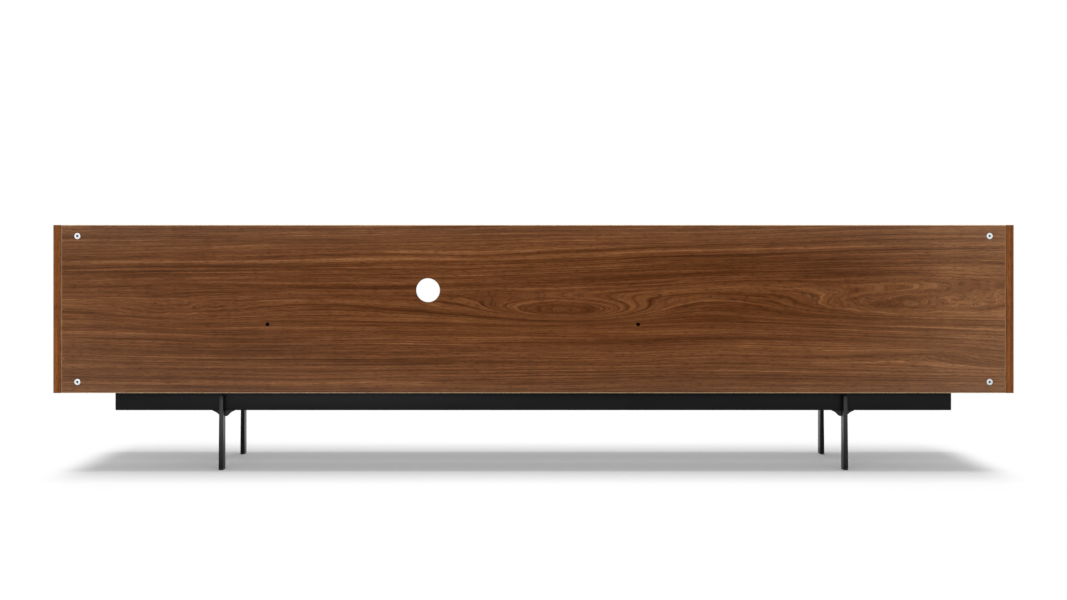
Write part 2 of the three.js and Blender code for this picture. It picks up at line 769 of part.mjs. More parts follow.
// A base screw goes up through the rail into the bottom panel. Its head is sunk in the rail's underside.
function baseScrew(end, way, hand) {
  const head = baseScrewHead / 2;
  const shank = baseScrewShank / 2;
  const length = legHeight - railBottom + baseScrewHold;
  const geometry = turned([
    [0, 0],
    [head - baseScrewRim, 0],
    [head - baseScrewRim / 2, baseScrewRim],
    [shank, head - shank + baseScrewRim / 2],
    [shank, length - baseScrewPoint],
    [shank * pointShare, length],
    [0, length],
  ]);
  const place = [baseScrewXs[hand], way * railMiddle, railBottom];
  return piece(`base_screw_${end}_${hand}`, geometry, blackOxide(), ...place);
}

// A tube between the rails, open at its ends.
function crossMember(hand, side) {
  const half = railDepth / 2;
  const section = closedShape([[-half, 0], [half, 0], [half, railHeight], [-half, railHeight]]);
  const [inside, low, high] = [half - railWall, railWall, railHeight - railWall];
  section.holes.push(closedShape([[-inside, low], [-inside, high], [inside, high], [inside, low]]));
  const length = 2 * (railOuter - railDepth - joint);
  const body = alongY(section, length);
  return piece(`cross_member_${hand}`, body, blackSteel(), (side * legSpacing) / 2, 0, railBottom);
}

// The bracket under rail and cross member: a plate with hollow sides that run down to a narrow foot.
function saddleSection() {
  const half = saddleWidth / 2;
  const foot = saddleFoot / 2;
  const outline = new THREE.Shape();
  outline.moveTo(half, 0);
  outline.lineTo(-half, 0);
  outline.lineTo(-half, -saddleEdge);
  bowTo(outline, -foot, -saddleHeight, saddleHollow);
  outline.lineTo(foot, -saddleHeight);
  bowTo(outline, half, -saddleEdge, saddleHollow);
  return outline;
}

// A leg is the solid where its side view and its rear view meet, with the saddle welded to it. It is
// notched for the rail, and its outer face leans out a little towards the foot.
function leg(end, way, hand, side) {
  const outer = railOuter + legEar;
  const inner = outer - legDepth;
  const notch = railOuter + joint;
  const foot = padHeight + joint;
  const top = legHeight - legDrop;
  const sideView = [
    [inner, foot], [outer, foot], [outer, top],
    [notch, top], [notch, saddleTop], [inner, saddleTop],
  ];
  const half = legThickness / 2;
  const rearView = [[-half, foot], [half + legSpread, foot], [half, top], [-half, top]];
  const bar = meet(
    alongX(closedShape(sideView.map(([y, z]) => [way * y, z])), 2 * (legThickness + legSpread)),
    alongY(closedShape(rearView.map(([x, z]) => [side * x, z])), 2 * outer + past),
  );
  const saddleMiddle = way * (inner + weld - saddleLength / 2);
  const saddle = alongY(saddleSection(), saddleLength).translate(0, saddleMiddle, saddleTop);
  return piece(`leg_${end}_${hand}`, join(bar, saddle), blackSteel(), (side * legSpacing) / 2);
}

function footPad(end, way, hand, side) {
  const x = side * (legSpacing / 2 + legSpread / 2);
  const y = way * (railOuter + legEar - legDepth / 2);
  const pad = new THREE.BoxGeometry(legThickness + legSpread, legDepth, padHeight);
  return piece(`foot_pad_${end}_${hand}`, pad, blackPlastic(), x, y, padHeight / 2);
}

function base() {
  const made = [];
  for (const [end, way] of ends) {
    made.push(rail(end, way));
    for (const [hand, side] of hands) {
      made.push(leg(end, way, hand, side), footPad(end, way, hand, side), baseScrew(end, way, hand));
    }
  }
  return group(0, 0, 0, ...made, ...hands.map(([hand, side]) => crossMember(hand, side)));
}

// ---------------------------------------------------------------- whole cabinet

const caseGroup = group(
  0, 0, legHeight,
  ...hands.map(([hand, side]) => sidePanel(hand, side)),
  topPanel(), bottomPanel(), divider("left"), divider("right"), nicheShelf(),
  backPanel(), ...backFixings(), dividerScrew("left"), dividerScrew("right"),
  flap(), door(),
  drawerFrontBoard(), ...drawerBox(),
  ...hands.flatMap(([hand, side]) => runner(hand, side)),
);

const cabinet = new THREE.Group();
cabinet.add(base(), caseGroup);

export default cabinet;
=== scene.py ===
"""The looks of a low walnut media cabinet on a black steel base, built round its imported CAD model."""

import logging
import math
from collections.abc import Callable, Iterator
from contextlib import contextmanager
from dataclasses import dataclass, replace
from enum import Enum
from functools import cache

import bmesh
import bpy
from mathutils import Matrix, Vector


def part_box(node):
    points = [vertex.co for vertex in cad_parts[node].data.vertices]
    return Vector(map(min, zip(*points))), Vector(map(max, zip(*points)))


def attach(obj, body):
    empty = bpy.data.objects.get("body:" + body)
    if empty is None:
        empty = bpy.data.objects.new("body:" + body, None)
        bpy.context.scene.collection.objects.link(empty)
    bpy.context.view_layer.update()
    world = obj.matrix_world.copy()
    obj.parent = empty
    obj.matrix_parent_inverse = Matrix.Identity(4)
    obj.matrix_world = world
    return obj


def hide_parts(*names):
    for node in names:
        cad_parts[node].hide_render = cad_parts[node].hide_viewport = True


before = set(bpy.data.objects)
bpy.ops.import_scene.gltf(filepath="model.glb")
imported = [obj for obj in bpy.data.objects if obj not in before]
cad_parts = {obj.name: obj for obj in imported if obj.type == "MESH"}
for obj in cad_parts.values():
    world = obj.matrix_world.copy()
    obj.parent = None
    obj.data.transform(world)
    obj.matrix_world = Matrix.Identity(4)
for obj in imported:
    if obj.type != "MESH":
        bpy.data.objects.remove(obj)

log = logging.getLogger("cabinet")

MM = 0.001
"""Metres in a millimetre."""
FAR = 1e3
"""More lengths of a figure than any board has."""
LOW, HIGH = 0.3, 0.7
"""What a noise's values mostly lie between."""
TOUCH = 1e-5
"""How near two places are that count as one, in metres."""
MERGE = 1e-6
"""How near two corners are that become one, in metres."""
LEVEL = math.radians(0.5)
"""The most turn between two faces that become one."""
SHARP = math.radians(30)
"""The least turn at a sharp edge."""
FLAT = 0.99
"""The least share of a face's normal along an axis that the face counts as square to."""
RIM = 2 * MM
"""How far in from a board's limits its edge faces may lie."""
BOARD_TURN, FITTING_TURN, STEEL_TURN = 20.0, 30.0, 40.0
"""The turns below which boards, fittings and steel parts are shaded smooth, in degrees."""

Socket = bpy.types.NodeSocket
Tree = bpy.types.NodeTree
Thing = bpy.types.Object
Face = bpy.types.MeshPolygon


class Axis(Enum):
    """An axis of the cabinet: X to its right, Y to its back, Z up."""

    X = 0
    Y = 1
    Z = 2


X, Y, Z = Axis


# -------- nodes and colours


def linear(code: str) -> tuple[float, float, float, float]:
    """Turns an sRGB hex colour to a linear one.

    Args:
        code: the colour as #rrggbb.

    Returns:
        Linear red, green and blue, and an alpha of 1.
    """
    parts = [int(code[start:start + 2], 16) / 255 for start in (1, 3, 5)]
    bent = [part / 12.92 if part <= 0.04045 else ((part + 0.055) / 1.055) ** 2.4 for part in parts]
    return bent[0], bent[1], bent[2], 1.0


def add(
    tree: Tree,
    kind: str,
    links: dict[int | str, object] | None = None,
    output: int | str = 0,
    stops: tuple[tuple[float, str | float], ...] = (),
    **settings: object,
) -> Socket | None:
    """Adds a node with its settings and links.

    Args:
        tree: the node tree that takes the node.
        kind: the node's type, without the ShaderNode that starts it.
        links: what goes to each input: a socket, a plain value, or a hex colour.
        output: the output that is wanted.
        stops: a colour ramp's places, each with its hex colour or plain value.
        settings: the node's own properties.

    Returns:
        The wanted output, or None where the node has none.
    """
    node = tree.nodes.new(f"ShaderNode{kind}")
    for name, value in settings.items():
        setattr(node, name, value)
    for index, (place, tint) in enumerate(stops):
        elements = node.color_ramp.elements
        element = elements[index] if index < len(elements) else elements.new(place)
        element.position = place
        element.color = linear(tint) if isinstance(tint, str) else (tint, tint, tint, 1.0)
    for key, value in (links or {}).items():
        if isinstance(value, bpy.types.NodeSocket):
            tree.links.new(value, node.inputs[key])
        elif isinstance(value, str):
            node.inputs[key].default_value = linear(value)
        else:
            node.inputs[key].default_value = value
    return node.outputs[output] if node.outputs else None


# -------- finishes


@dataclass(frozen=True)
class Finish:
    """What a surface is made of. Each kind of finish says how its shader is built."""

    name: str

    def shader(self, tree: Tree) -> Socket:
        """Adds the finish's nodes and returns its shader."""
        raise NotImplementedError


@cache
def material_of(finish: Finish) -> bpy.types.Material:
    """Makes a finish's material, once.

    Args:
        finish: the finish.

    Returns:
        Its material.
    """
    material = bpy.data.materials.new(finish.name)
    material.use_nodes = True
    material.node_tree.nodes.clear()
    add(material.node_tree, "OutputMaterial", {"Surface": finish.shader(material.node_tree)})
    return material


@dataclass(frozen=True)
class Figure:
    """A swelling of the log, round which the growth rings bend. Sizes are in metres. Its lift wavers by the
    ripple within each curl, whose width is a share of its length. A figure that opens goes on for ever to
    one side, given as -1 or 1."""

    along: float
    across: float
    length: float
    width: float
    lift: float
    ripple: float = 0.0
    curl: float = 70 * MM
    opens: float = 0.0
    curl_share: float = 0.4


@dataclass(frozen=True)
class Profile:
    """How a value changes across a board, as pairs of a place in metres and the value there."""

    values: tuple[tuple[float, float], ...]

    def at(self, tree: Tree, place: Socket) -> Socket:
        """Adds the nodes that look the value up.

        Args:
            tree: the material's nodes.
            place: the place, in metres.

        Returns:
            The value.
        """
        low, high = self.values[0][0], self.values[-1][0]
        share = add(tree, "MapRange", {0: place, 1: low, 2: high})
        stops = tuple(((spot - low) / (high - low), value) for spot, value in self.values)
        return add(tree, "ValToRGB", {0: share}, stops=stops)


@dataclass(frozen=True)
class PaintedSheen:
    """A painted sheen: a pale haze mixed into the wood's colour towards a board's edges, standing in for
    the broad reflection of the bright surroundings there. Each profile gives a share of the haze, and the
    spare is taken off their sum."""

    along: Profile
    across: Profile
    spare: float
    # The colour of the painted sheen.
    haze: str = "#a9a798"


@dataclass(frozen=True)
class Streaks:
    """One size of streak in the wood, with how much it counts. Lengths and widths are in metres."""

    length: float
    width: float
    weight: float = 1.0
    detail: float = 2.0


WALNUT_STREAKS = (
    Streaks(0.9, 0.022, 0.6), Streaks(0.7, 0.008, 0.72), Streaks(0.5, 0.0026, 0.75),
    Streaks(0.5, 0.0012, 0.6, 1.0), Streaks(0.05, 0.0017, 0.5, 1.0),
)
MOTTLE = Streaks(0.05, 0.03, 0.25, 3.0)
PORES = Streaks(0.014, 0.0018, 0.6)
LOG_BENDS = Streaks(0.9, 0.16)
SEED_STEPS = (1.0, 1.7, 0.6)
"""How far one seed moves the wood along the grain, across it and through the board, in streaks."""


@dataclass(frozen=True)
class WalnutVeneer(Finish):
    """Crown-cut black walnut veneer, sanded and matt-lacquered: long brown streaks that bend round the
    log's swellings, short dark pores, and a low, broad sheen."""

    grain: Axis = X
    across: Axis = Z
    seed: float = 0.0
    wander: float = 0.035
    figures: tuple[Figure, ...] = ()
    bands: Profile | None = None
    drift: Profile | None = None
    painted_sheen: PaintedSheen | None = None
    tones: tuple[tuple[float, str], ...] = (
        (0.0, "#3a1c05"), (0.33, "#562d0d"), (0.5, "#673b1c"), (0.7, "#794a27"), (1.0, "#9d6a42"),
    )
    streaks: tuple[Streaks, ...] = WALNUT_STREAKS
    pore_range: tuple[float, float] = (0.5, 0.72)
    pore_tone: str = "#2a1507"
    pore_relief: float = -0.6
    relief: float = 0.3 * MM
    rough: tuple[float, float] = (0.43, 0.52)
    gloss: float = 0.05

    def fibres(self, tree: Tree, spot: Socket, streak: Streaks) -> Socket:
        """Adds noise that is drawn out along the grain.

        Args:
            tree: the material's nodes.
            spot: the place along the grain, across the rings and through the board.
            streak: the size of the streaks, and how many finer layers they have.

        Returns:
            The noise, from 0 to 1.
        """
        place = add(tree, "Mapping", {
            "Vector": spot,
            "Location": [self.seed * step for step in SEED_STEPS],
            "Scale": (1 / streak.length, 1 / streak.width, 1 / streak.width),
        })
        return add(tree, "TexNoise", {
            "Vector": place, "Scale": 1.0, "Detail": streak.detail, "Roughness": 0.6,
        })

    def rings(self, tree: Tree, wood: Socket, across: Socket) -> Socket:
        """Adds the height in the log that each spot was cut at.

        Args:
            tree: the material's nodes.
            wood: the place along the grain, across it and through the board.
            across: the place across the grain.

        Returns:
            The height, in metres.
        """
        slow = self.fibres(tree, wood, LOG_BENDS)
        height = add(tree, "Math", {0: slow, 1: self.wander, 2: across}, operation="MULTIPLY_ADD")
        for swelling in self.figures:
            size = (1 / swelling.length, 1 / swelling.width, 0.0)
            centre = (-swelling.along / swelling.length, -swelling.across / swelling.width, 0.0)
            apart = add(tree, "VectorMath", {0: wood, 1: size, 2: centre}, operation="MULTIPLY_ADD")
            if swelling.opens:
                limit = "MAXIMUM" if swelling.opens < 0 else "MINIMUM"
                far = (0.0, FAR * swelling.opens, FAR * swelling.opens)
                apart = add(tree, "VectorMath", {0: apart, 1: far}, operation=limit)
            square = add(tree, "VectorMath", {0: apart, 1: apart}, 1, operation="DOT_PRODUCT")
            # A bell curve, which has fallen to 1/e at the figure's length and width.
            near = add(tree, "Math", {0: math.exp(-1), 1: square}, operation="POWER")
            rise = swelling.lift
            if swelling.ripple:
                curl = self.fibres(tree, wood, Streaks(swelling.curl, swelling.curl_share * swelling.curl))
                rise = add(tree, "Math", {
                    0: curl, 1: swelling.ripple, 2: swelling.lift - swelling.ripple / 2,
                }, operation="MULTIPLY_ADD")
            height = add(tree, "Math", {0: near, 1: rise, 2: height}, operation="MULTIPLY_ADD")
        return height

    def shader(self, tree: Tree) -> Socket:
        """Adds the veneer's nodes.

        Args:
            tree: the material's nodes.

        Returns:
            The shader.
        """
        spot = add(tree, "TexCoord", output="Object")
        axes = add(tree, "SeparateXYZ", {0: spot}).node.outputs
        along, across = axes[self.grain.value], axes[self.across.value]
        deep = axes[3 - self.grain.value - self.across.value]
        wood = add(tree, "CombineXYZ", {0: along, 1: across, 2: deep})
        height = self.rings(tree, wood, across)
        cut = add(tree, "CombineXYZ", {0: along, 1: height, 2: deep})
        tone = self.bands.at(tree, height) if self.bands else 0.5
        if self.drift:
            tone = add(tree, "Math", {0: tone, 1: self.drift.at(tree, along)}, operation="ADD")
        for place, streak in ((wood, MOTTLE), *((cut, each) for each in self.streaks)):
            fine = self.fibres(tree, place, streak)
            lean = add(tree, "Math", {0: fine, 1: -0.5}, operation="ADD")
            tone = add(tree, "Math", {0: lean, 1: streak.weight, 2: tone}, operation="MULTIPLY_ADD")
        colour = add(tree, "ValToRGB", {0: tone}, stops=self.tones)
        start, full = self.pore_range
        pores = self.fibres(tree, cut, PORES)
        pore = add(tree, "MapRange", {0: pores, 1: start, 2: full, 3: 0.0, 4: PORES.weight})
        colour = add(tree, "Mix", {0: pore, 6: colour, 7: self.pore_tone}, 2, data_type="RGBA")
        # Painted sheen: a pale haze is mixed into the colour towards the board's edges, for the reflection of
        # the bright surroundings.
        if self.painted_sheen:
            sheen_paint = self.painted_sheen
            sheen_share = add(tree, "Math", {
                0: sheen_paint.along.at(tree, along), 1: sheen_paint.across.at(tree, across),
            }, operation="ADD")
            sheen_share = add(tree, "Math", {0: sheen_share, 1: -sheen_paint.spare}, operation="ADD")
            colour = add(tree, "Mix", {0: sheen_share, 6: colour, 7: sheen_paint.haze}, 2, data_type="RGBA")
        low, high = self.rough
        rough = add(tree, "MapRange", {0: fine, 1: LOW, 2: HIGH, 3: high, 4: low})
        skin = add(tree, "Math", {0: pore, 1: self.pore_relief, 2: fine}, operation="MULTIPLY_ADD")
        bump = add(tree, "Bump", {"Height": skin, "Strength": 0.12, "Distance": self.relief})
        return add(tree, "BsdfPrincipled", {
            "Base Color": colour, "Roughness": rough, "IOR": 1.5, "Specular IOR Level": self.gloss,
            "Normal": bump,
        })


@dataclass(frozen=True)
class BoardCore(Finish):
    """Chipboard where a drilling cuts through the veneer: pale flakes pressed in dark glue."""

    chip: float = 1.8 * MM

    def shader(self, tree: Tree) -> Socket:
        """Adds the chipboard's nodes.

        Args:
            tree: the material's nodes.

        Returns:
            The shader.
        """
        spot = add(tree, "TexCoord", output="Object")
        flakes = add(tree, "TexVoronoi", {"Vector": spot, "Scale": 1 / self.chip}, 1)
        grey = add(tree, "SeparateColor", {0: flakes})
        stops = ((0.0, "#7d5f40"), (0.5, "#b08d62"), (1.0, "#cfb084"))
        colour = add(tree, "ValToRGB", {0: grey}, stops=stops)
        bump = add(tree, "Bump", {"Height": grey, "Strength": 0.3, "Distance": 0.4 * MM})
        return add(tree, "BsdfPrincipled", {"Base Color": colour, "Roughness": 0.85, "Normal": bump})


@dataclass(frozen=True)
class BirchPlywood(Finish):
    """Rotary-cut birch plywood under clear lacquer. Its faces are pale with faint grain, and its edges show
    the plies, light and dark in turn."""

    grain: Axis = Y
    stack: Axis = X
    is_edge: bool = False
    ply: float = 1.33 * MM
    streak_length: float = 0.35
    streak_width: float = 22 * MM

    def shader(self, tree: Tree) -> Socket:
        """Adds the plywood's nodes.

        Args:
            tree: the material's nodes.

        Returns:
            The shader.
        """
        spot = add(tree, "TexCoord", output="Object")
        scale = Vector((1, 1, 1)) / self.streak_width
        scale[self.grain.value] = 1 / self.streak_length
        drawn = add(tree, "Mapping", {"Vector": spot, "Scale": scale})
        grain = add(tree, "TexNoise", {
            "Vector": drawn, "Scale": 1.0, "Detail": 5.0, "Roughness": 0.65, "Distortion": 0.4,
        })
        stops = ((0.25, "#c39d6c"), (0.5, "#d8b989"), (0.75, "#e5cca1"))
        colour = add(tree, "ValToRGB", {0: grain}, stops=stops)
        if self.is_edge:
            axes = add(tree, "SeparateXYZ", {0: spot}).node.outputs
            stack = axes[self.stack.value]
            turns = add(tree, "Math", {0: stack, 1: math.pi / self.ply}, operation="MULTIPLY")
            wave = add(tree, "Math", {0: turns}, operation="SINE")
            dark = add(tree, "MapRange", {0: wave, 1: -0.3, 2: 0.3})
            colour = add(tree, "Mix", {0: dark, 6: colour, 7: "#946a3e"}, 2, data_type="RGBA")
        return add(tree, "BsdfPrincipled", {"Base Color": colour, "Roughness": 0.5, "IOR": 1.5})


@dataclass(frozen=True)
class PowderCoat(Finish):
    """Powder-coated mild steel, matt black: the baked powder has a fine orange-peel skin that spreads the
    highlights."""

    gloss: float = 0.12
    peel: float = 1.1 * MM
    patches: float = 9.0
    """How many thicker and thinner patches of the coat lie in a metre."""

    def shader(self, tree: Tree) -> Socket:
        """Adds the coat's nodes.

        Args:
            tree: the material's nodes.

        Returns:
            The shader.
        """
        spot = add(tree, "TexCoord", output="Object")
        skin = add(tree, "TexNoise", {"Vector": spot, "Scale": 1 / self.peel, "Detail": 2.0})
        wear = add(tree, "TexNoise", {"Vector": spot, "Scale": self.patches, "Detail": 3.0, "Roughness": 0.6})
        colour = add(tree, "ValToRGB", {0: wear}, stops=((LOW, "#08080a"), (HIGH, "#101011")))
        rough = add(tree, "MapRange", {0: wear, 1: LOW, 2: HIGH, 3: 0.34, 4: 0.42})
        bump = add(tree, "Bump", {"Height": skin, "Strength": 0.18, "Distance": 0.1 * MM})
        return add(tree, "BsdfPrincipled", {
            "Base Color": colour, "Roughness": rough, "IOR": 1.5, "Specular IOR Level": self.gloss,
            "Normal": bump,
        })


@dataclass(frozen=True)
class FineSkin(Finish):
    """A surface with one fine grit, which tints it and breaks up its sheen. It is bare metal unless its
    fields say otherwise."""

    dark: str
    light: str
    rough: tuple[float, float]
    grit: float
    drawn: float = 1.0
    """How many times longer the grit is from front to back."""
    strength: float = 0.08
    relief: float = 0.05 * MM
    detail: float = 3.0
    fineness: float = 0.55
    metallic: float = 1.0
    ior: float = 1.5
    gloss: float = 0.5

    def shader(self, tree: Tree) -> Socket:
        """Adds the skin's nodes.

        Args:
            tree: the material's nodes.

        Returns:
            The shader.
        """
        spot = add(tree, "TexCoord", output="Object")
        place = add(tree, "Mapping", {"Vector": spot, "Scale": (1.0, 1 / self.drawn, 1.0)})
        skin = add(tree, "TexNoise", {
            "Vector": place, "Scale": 1 / self.grit, "Detail": self.detail, "Roughness": self.fineness,
        })
        colour = add(tree, "ValToRGB", {0: skin}, stops=((LOW, self.dark), (HIGH, self.light)))
        low, high = self.rough
        rough = add(tree, "MapRange", {0: skin, 1: LOW, 2: HIGH, 3: high, 4: low})
        bump = add(tree, "Bump", {"Height": skin, "Strength": self.strength, "Distance": self.relief})
        return add(tree, "BsdfPrincipled", {
            "Base Color": colour, "Metallic": self.metallic, "Roughness": rough, "IOR": self.ior,
            "Specular IOR Level": self.gloss, "Normal": bump,
        })


@dataclass(frozen=True)
class StudioFloor(Finish):
    """A white paper sweep. Under the cabinet it takes the shadow, which a faint haze lifts for the eye, and
    past the cabinet's ends and far from it, it is plain white."""

    near: float = 1.5
    far: float = 2.4
    side_near: float = 0.915
    side_far: float = 1.02
    haze: float = 0.157

    def shader(self, tree: Tree) -> Socket:
        """Adds the floor's nodes.

        Args:
            tree: the material's nodes.

        Returns:
            The shader.
        """
        spot = add(tree, "TexCoord", output="Object")
        away = add(tree, "VectorMath", {0: spot}, 1, operation="LENGTH")
        fade = add(tree, "MapRange", {0: away, 1: self.near, 2: self.far})
        along = add(tree, "SeparateXYZ", {0: spot})
        side = add(tree, "Math", {0: along}, operation="ABSOLUTE")
        beside = add(tree, "MapRange", {0: side, 1: self.side_near, 2: self.side_far},
                     interpolation_type="SMOOTHSTEP")
        fade = add(tree, "Math", {0: fade, 1: beside}, operation="MAXIMUM")
        rays = add(tree, "LightPath").node.outputs
        seen = add(tree, "Math", {0: rays["Is Camera Ray"], 1: rays["Is Glossy Ray"]}, operation="MAXIMUM")
        plain = add(tree, "Math", {0: seen, 1: fade}, operation="MULTIPLY")
        paper = add(tree, "BsdfDiffuse", {"Color": "#ebebeb"})
        glow = add(tree, "Emission", {"Color": "#ffffff", "Strength": 1.0})
        lift = add(tree, "Math", {0: rays["Is Camera Ray"], 1: self.haze}, operation="MULTIPLY")
        haze = add(tree, "Emission", {"Color": "#f4fbff", "Strength": lift})
        lit = add(tree, "AddShader", {0: paper, 1: haze})
        return add(tree, "MixShader", {0: plain, 1: lit, 2: glow})


BACK_FIGURES = (
    Figure(0.03, 0.334, 0.3, 0.034, 0.03, ripple=0.004, opens=-1.0),
    Figure(-0.42, 0.334, 0.22, 0.034, -0.017),
    Figure(-0.076, 0.3347, 0.12, 0.021, 0.034, ripple=0.004),
    Figure(-0.8, 0.352, 0.17, 0.02, 0.018, ripple=0.03, curl=40 * MM),
    Figure(-0.93, 0.37, 0.09, 0.018, 0.014, ripple=0.03, curl=34 * MM),
    Figure(-0.85, 0.248, 0.2, 0.02, -0.02, ripple=0.016, curl=90 * MM),
    Figure(0.72, 0.33, 0.2, 0.03, 0.018, ripple=0.016, curl=75 * MM),
    Figure(-1.3, 0.46, 1.3, 0.09, -0.045),
    Figure(-1.1, 0.25, 0.4, 0.06, 0.03),
)
TOP_FIGURES = (Figure(0.35, -0.02, 0.2, 0.03, 0.04, 0.01), Figure(-0.5, 0.05, 0.3, 0.03, 0.03, 0.01))
FLAP_FIGURES = (Figure(-0.55, 0.34, 0.22, 0.03, 0.035, 0.01), Figure(-0.75, 0.3, 0.2, 0.03, 0.02, 0.01))
DOOR_FIGURES = (Figure(0.8, 0.32, 0.18, 0.03, 0.03, 0.01),)
BACK_BANDS = Profile((
    (0.165, 0.52), (0.2, 0.5), (0.235, 0.53), (0.27, 0.475), (0.31, 0.49), (0.345, 0.485), (0.38, 0.49),
    (0.415, 0.46), (0.435, 0.45), (0.445, 0.5), (0.452, 0.7), (0.459, 0.5), (0.47, 0.52), (0.5, 0.54),
    (0.53, 0.54),
))
BACK_DRIFT = Profile((
    (-1.0, 0.24), (-0.865, 0.19), (-0.763, 0.1), (-0.64, 0.04), (-0.4, -0.01), (0.0, -0.1), (0.45, -0.125),
    (0.7, -0.02), (0.93, 0.05), (1.0, 0.05),
))
# Painted sheen on the back panel: the haze grows towards its ends, top and bottom, where the broad reflection
# of the surroundings lies.
BACK_PAINTED_SHEEN = PaintedSheen(
    along=Profile((
        (-1.0, 0.06), (-0.94, 0.056), (-0.865, 0.049), (-0.763, 0.031), (-0.638, 0.017), (-0.5, 0.01),
        (-0.27, 0.003), (-0.03, 0.0), (0.1, 0.0015), (0.36, 0.008), (0.6, 0.018), (0.72, 0.02),
        (0.83, 0.028), (0.93, 0.0335), (1.0, 0.037),
    )),
    across=Profile((
        (0.165, 0.055), (0.189, 0.035), (0.226, 0.022), (0.263, 0.0145), (0.301, 0.006), (0.338, 0.001),
        (0.4, 0.0), (0.45, 0.006), (0.488, 0.0248), (0.515, 0.045),
    )),
    spare=0.01,
)
BACK_VENEER = WalnutVeneer(
    "walnut veneer, back", seed=3.1, figures=BACK_FIGURES, bands=BACK_BANDS, drift=BACK_DRIFT,
    painted_sheen=BACK_PAINTED_SHEEN,
)
EDGE_TONES = (
    (0.0, "#421f0c"), (0.3, "#67391a"), (0.5, "#7d4924"), (0.7, "#965c30"), (1.0, "#b97b43"),
)
EDGE_STREAKS = (Streaks(0.5, 0.006, 0.5), Streaks(0.2, 0.0022, 0.7, 3.0), Streaks(0.05, 0.001, 0.4))
CORE = BoardCore("chipboard core")
BLACK_COAT = PowderCoat("powder-coated steel, black")
LEG_COAT = PowderCoat("powder-coated flat bar, black", gloss=0.32)
# Cast skins are even, and a rolled one is drawn out along its length.
ZINC = FineSkin("zinc die-cast", "#afb3b6", "#cccfd1", (0.3, 0.42), 0.7 * MM)
# Painted shade: the cam's cross recess gets this dark colour for the shade inside it.
DRIVE_SHADE = FineSkin("zinc die-cast, greased drive", "#202224", "#3a3d40", (0.4, 0.55), 0.7 * MM)
ZINC_PLATE = FineSkin("zinc-plated rolled steel", "#a3a9ad", "#c6cbce", (0.26, 0.38), 1.5 * MM, drawn=20.0)
BRIGHT_STEEL = FineSkin("turned bright steel", "#8f9395", "#b4b8ba", (0.2, 0.32), 0.8 * MM)
# Black-oxide steel, whose dark colour also paints shade into the screw heads' cross recesses.
BLACK_OXIDE_AND_DRIVE_SHADE = FineSkin("black-oxide steel", "#1b1b1e", "#2c2c30", (0.35, 0.5), 0.6 * MM)
BLACKENED = FineSkin("blackened screw steel", "#050505", "#0d0d0e", (0.5, 0.65), 0.6 * MM)
# A spark-eroded mould gives the plastics a dull, even sheen.
BLACK_PLASTIC = FineSkin(
    "moulded polyamide, black", "#161617", "#1f1f21", (0.55, 0.55), 0.6 * MM, strength=0.15,
    relief=0.08 * MM, detail=2.0, fineness=0.6, metallic=0.0, ior=1.46,
)
GREY_PLASTIC = replace(BLACK_PLASTIC, name="moulded acetal, grey", dark="#77797c", light="#88898d")
# Painted shade: the walls of the back panel's drillings are near-black and matt, for the shade inside them.
DRILLING_SHADE = FineSkin(
    "chipboard core, stained black", "#020202", "#090807", (0.95, 0.95), 1.8 * MM, strength=0.3,
    relief=0.3 * MM, detail=2.0, fineness=0.5, metallic=0.0, gloss=0.05,
)


def edging(name: str, grain: Axis, across: Axis, seed: float) -> WalnutVeneer:
    """Returns a 1 mm walnut edge band, straight-grained and a little redder than the veneer."""
    return WalnutVeneer(name, grain, across, seed, wander=0.004, tones=EDGE_TONES, streaks=EDGE_STREAKS)


# -------- mesh tools


def only(thing: Thing | None) -> None:
    """Selects one object, or none, and deselects the rest.

    Args:
        thing: the object, or None.
    """
    for other in bpy.context.selected_objects:
        other.select_set(False)
    bpy.context.view_layer.objects.active = thing
    if thing:
        thing.select_set(True)


@contextmanager
def editing(thing: Thing) -> Iterator[None]:
    """Opens a piece in edit mode for the time of a with statement.

    Args:
        thing: the piece.

    Yields:
        Nothing.
    """
    only(thing)
    bpy.ops.object.mode_set(mode="EDIT")
    yield
    bpy.ops.object.mode_set(mode="OBJECT")


def limits(thing: Thing) -> tuple[Vector, Vector]:
    """Returns the lowest and the highest corner of a piece's box."""
    corners = [Vector(corner) for corner in thing.bound_box]
    return corners[0], corners[6]


def select_parts(kind: str, test: Callable[[object], bool]) -> None:
    """Selects parts of the mesh in edit mode.

    Args:
        kind: EDGE or FACE.
        test: says whether a part is wanted.
    """
    bpy.ops.mesh.select_mode(type=kind)
    bpy.ops.mesh.select_all(action="DESELECT")
    mesh = bpy.context.edit_object.data
    body = bmesh.from_edit_mesh(mesh)
    for part in body.edges if kind == "EDGE" else body.faces:
        part.select_set(test(part))
    body.select_flush_mode()
    bmesh.update_edit_mesh(mesh)


def copied_node(node: str) -> Thing:
    """Copies a CAD node's shape to a piece of its own, with its triangles merged to flat faces.

    Args:
        node: the node's name.

    Returns:
        The new piece.
    """
    thing = bpy.data.objects.new(f"{node}_dressed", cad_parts[node].data.copy())
    bpy.context.scene.collection.objects.link(thing)
    thing.data.materials.clear()
    with editing(thing):
        bpy.ops.mesh.select_all(action="SELECT")
        bpy.ops.mesh.customdata_custom_splitnormals_clear()
        bpy.ops.mesh.remove_doubles(threshold=MERGE)
        bpy.ops.mesh.dissolve_limited(angle_limit=LEVEL)
    return thing


